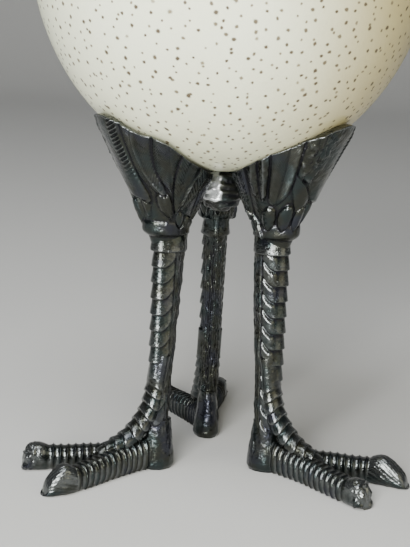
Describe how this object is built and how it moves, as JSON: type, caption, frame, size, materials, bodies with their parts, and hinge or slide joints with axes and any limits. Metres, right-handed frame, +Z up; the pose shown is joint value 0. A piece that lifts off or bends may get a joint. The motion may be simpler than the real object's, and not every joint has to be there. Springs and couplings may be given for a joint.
{
  "type": "ostrich egg on a stand of three cast ostrich legs",
  "caption": "Glossy cream ostrich egg with brown pores, resting in a dark pewter stand made of scaly ostrich legs with ringed toes and feathered thighs.",
  "frame": {"origin": "on the ground under the middle of the whole object's box", "axes": "+Z up along the egg's long axis, -Y toward the viewer, between the two front legs"},
  "size_m": [0.1312, 0.1302, 0.2465],
  "materials": {
    "eggshell": "glossy cream shell with small brown pores",
    "pewter": "dark gunmetal patina, rubbed bright on the raised edges",
    "solder": "bright lumpy solder, darker on one side"
  },
  "bodies": {
    "root": {"egg": "eggshell", "front_left_leg": "pewter", "front_right_leg": "pewter", "back_leg": "pewter", "solder_joint": "solder"}
  },
  "joints": []
}
